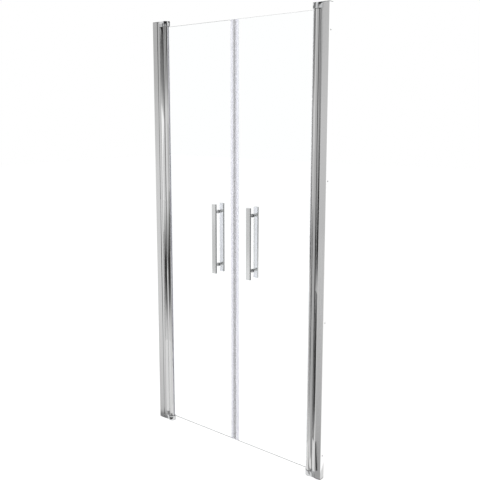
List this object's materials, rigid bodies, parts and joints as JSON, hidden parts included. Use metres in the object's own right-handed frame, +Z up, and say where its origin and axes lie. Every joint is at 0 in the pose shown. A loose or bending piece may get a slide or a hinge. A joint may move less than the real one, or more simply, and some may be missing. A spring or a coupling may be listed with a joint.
{
  "type": "shower screen",
  "caption": "Frameless glass swing doors for a shower niche, hung on round pivot profiles at the side walls, with clear seals between them and bar handles.",
  "frame": {"origin": "on the shower tray, midway between the two walls, in the middle plane of the closed glass", "axes": "+X along the opening to the right seen from outside, +Y into the shower, +Z up"},
  "size_m": [0.9, 0.062, 1.85],
  "materials": {
    "chrome": "bright polished",
    "chrome_cap": "bright polished, darker reflections",
    "bar_chrome": "polished flat bar",
    "steel": "turned stainless steel",
    "clear_glass": "clear toughened glass",
    "clear_pvc": "translucent soft plastic",
    "magnet_rubber": "flexible magnetic strip",
    "wiper_rubber": "dark soft rubber",
    "nylon": "natural nylon",
    "dark_plastic": "moulded grey plastic"
  },
  "bodies": {
    "side_frames": {"left_wall_channel": "chrome", "right_wall_channel": "chrome", "left_frame_profile": "chrome", "right_frame_profile": "chrome", "left_top_cap": "chrome_cap", "left_bottom_cap": "chrome_cap", "right_top_cap": "chrome_cap", "right_bottom_cap": "chrome_cap", "left_top_plug": "dark_plastic", "right_top_plug": "dark_plastic", "left_foot_plug": "dark_plastic", "right_foot_plug": "dark_plastic", "left_wiper": "wiper_rubber", "right_wiper": "wiper_rubber", "pivot_pins": "steel", "cap_screws": "steel", "frame_screws": "steel", "screw_covers": "chrome_cap"},
    "left_leaf": {"left_pivot_profile": "chrome", "left_glass": "clear_glass", "left_glazing_gasket": "clear_pvc", "left_bushes": "nylon", "left_bush_grubs": "steel", "left_seal": "clear_pvc", "left_magnet": "magnet_rubber", "left_outer_bar": "bar_chrome", "left_inner_bar": "bar_chrome", "left_standoffs": "chrome_cap", "left_handle_studs": "steel", "left_hole_sleeves": "nylon", "left_washers": "wiper_rubber", "left_bar_grubs": "steel"},
    "right_leaf": {"right_pivot_profile": "chrome", "right_glass": "clear_glass", "right_glazing_gasket": "clear_pvc", "right_bushes": "nylon", "right_bush_grubs": "steel", "right_seal": "clear_pvc", "right_magnet": "magnet_rubber", "right_outer_bar": "bar_chrome", "right_inner_bar": "bar_chrome", "right_standoffs": "chrome_cap", "right_handle_studs": "steel", "right_hole_sleeves": "nylon", "right_washers": "wiper_rubber", "right_bar_grubs": "steel"}
  },
  "joints": [
    {"name": "left_leaf_swing", "type": "hinge", "parent": "side_frames", "child": "left_leaf", "pos_m": [-0.381, 0, 0], "axis": [0, 0, 1], "range_deg": [-90, 90]},
    {"name": "right_leaf_swing", "type": "hinge", "parent": "side_frames", "child": "right_leaf", "pos_m": [0.392, 0, 0], "axis": [0, 0, 1], "range_deg": [-90, 90]}
  ]
}
